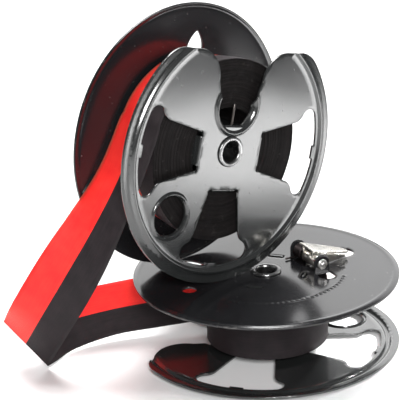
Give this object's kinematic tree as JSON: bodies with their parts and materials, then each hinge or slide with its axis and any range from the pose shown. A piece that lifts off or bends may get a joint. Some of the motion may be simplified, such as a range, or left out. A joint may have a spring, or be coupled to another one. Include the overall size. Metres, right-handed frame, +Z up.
{
  "type": "typewriter ribbon spool pair",
  "caption": "Typewriter ribbon wound between metal spools: one lies flat, the other stands on it, with a red and black ribbon looped between them.",
  "frame": {"origin": "on the lower spool's axis, at the plane it rests on", "axes": "+Z up along the lower spool's spindle bore; +X to the right and +Y away as seen from the front, where the upper spool's openwork flange faces forward and to the right"},
  "size_m": [0.0804, 0.054, 0.0701],
  "materials": {
    "black_enamel": "gloss black enamel",
    "gunmetal": "gloss gunmetal lacquer",
    "eyelet_steel": "darkened steel",
    "hook_wire": "bare wire",
    "lever_nickel": "worn nickel plate",
    "pin_steel": "bare steel",
    "spring_steel": "blued spring steel",
    "ribbon_ink": "inked woven ribbon",
    "ribbon_red": "inked woven ribbon, red half and black half"
  },
  "bodies": {
    "lower_spool": {"lower_solid_flange": "black_enamel", "lower_open_flange": "gunmetal", "lower_eyelet": "eyelet_steel", "lower_ribbon_hook": "hook_wire", "lower_lever_pin": "pin_steel", "lower_lever_spring": "spring_steel", "lower_ribbon_pack": "ribbon_ink", "ribbon_span": "ribbon_red"},
    "lower_lever": {"lower_trip_lever": "lever_nickel"},
    "upper_spool": {"upper_solid_flange": "black_enamel", "upper_open_flange": "gunmetal", "upper_eyelet": "eyelet_steel", "upper_ribbon_hook": "hook_wire", "upper_lever_pin": "pin_steel", "upper_lever_spring": "spring_steel", "upper_ribbon_pack": "ribbon_ink"},
    "upper_lever": {"upper_trip_lever": "lever_nickel"}
  },
  "joints": [
    {"name": "lower_lever_lift", "type": "hinge", "parent": "lower_spool", "child": "lower_lever", "pos_m": [0.00838, 0.00427, 0.0177], "axis": [0.454, -0.891, 0], "range_deg": [0, 25], "stiffness_Nm_per_rad": 0.002},
    {"name": "upper_spool_turn", "type": "hinge", "parent": "lower_spool", "child": "upper_spool", "pos_m": [-0.01157, 0.00298, 0.0431], "axis": [-0.6428, 0.766, 0], "continuous": true},
    {"name": "upper_lever_lift", "type": "hinge", "parent": "upper_spool", "child": "upper_lever", "pos_m": [-0.02391, 0.00503, 0.0384], "axis": [0.383, 0.3214, -0.866], "range_deg": [0, 25], "stiffness_Nm_per_rad": 0.002}
  ]
}
